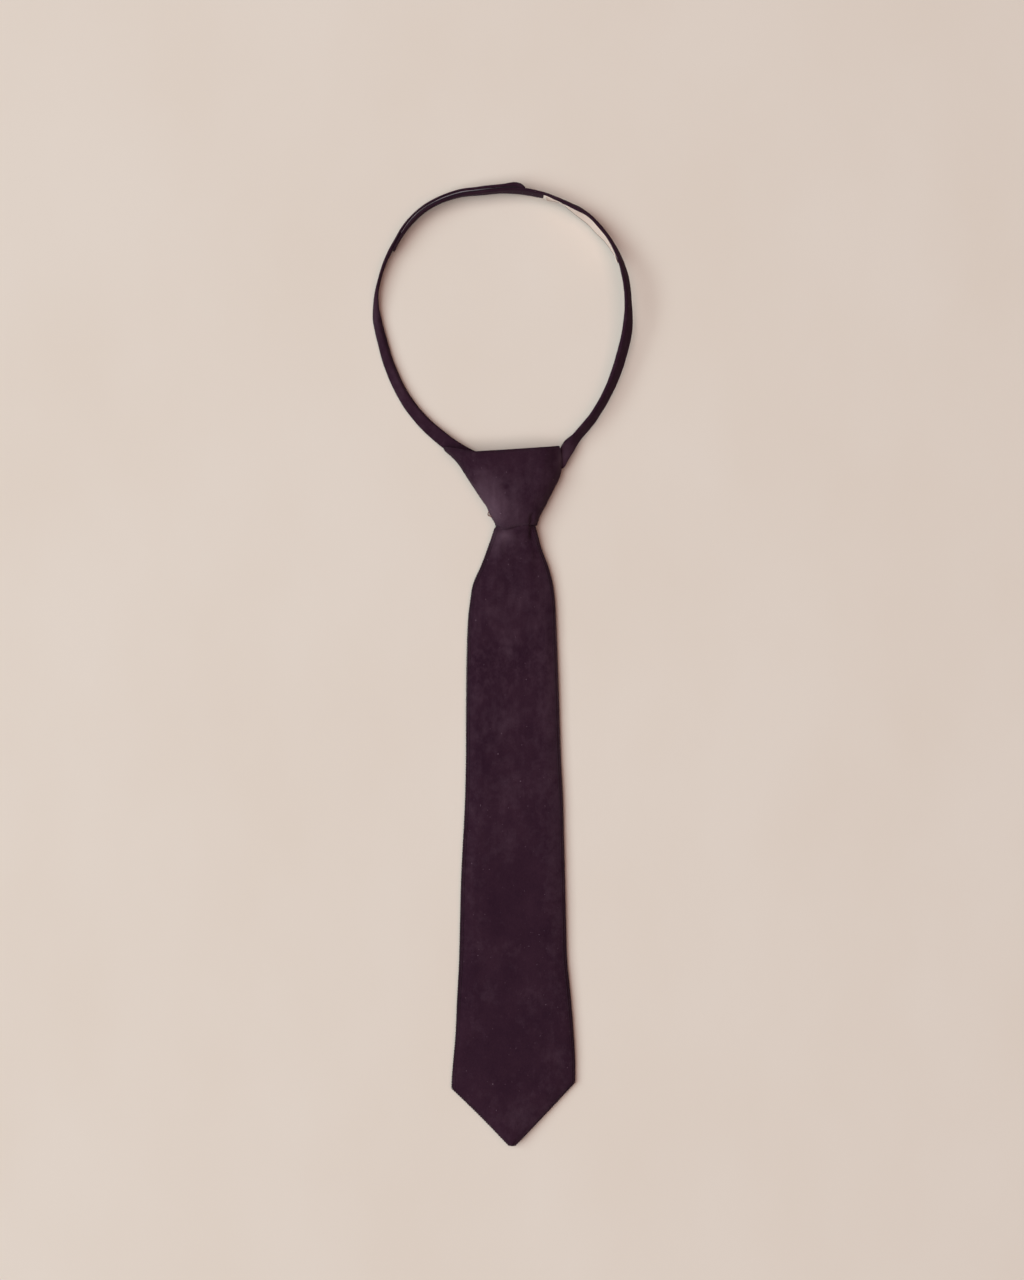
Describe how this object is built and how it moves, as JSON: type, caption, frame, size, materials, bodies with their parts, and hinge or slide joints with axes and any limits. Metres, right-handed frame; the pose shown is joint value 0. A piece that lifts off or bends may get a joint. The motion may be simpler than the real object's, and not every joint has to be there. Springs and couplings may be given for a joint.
{
  "type": "child's ready-tied velvet skinny tie",
  "caption": "Ready-tied skinny necktie: folded pointed blade, wrapped knot and a neck band whose ends overlap on hook-and-loop tape, lying flat.",
  "frame": {"origin": "centre of the bounding box, on the surface that the tie lies on", "axes": "+Y along the tie from the blade's tip to the back of the neck band, +Z out of the front of the tie, +X to the right seen from the front"},
  "size_m": [0.1036, 0.3836, 0.0128],
  "materials": {
    "black_velvet": "matte pile",
    "loop_pile": "fuzzy loops",
    "hook_nylon": "stiff moulded hooks",
    "label_satin": "satin ribbon"
  },
  "bodies": {
    "root": {"blade": "black_velvet", "knot_wrap": "black_velvet", "neck_band": "black_velvet", "hook_tape": "hook_nylon", "loop_tape": "loop_pile", "neck_label": "label_satin"}
  },
  "joints": []
}
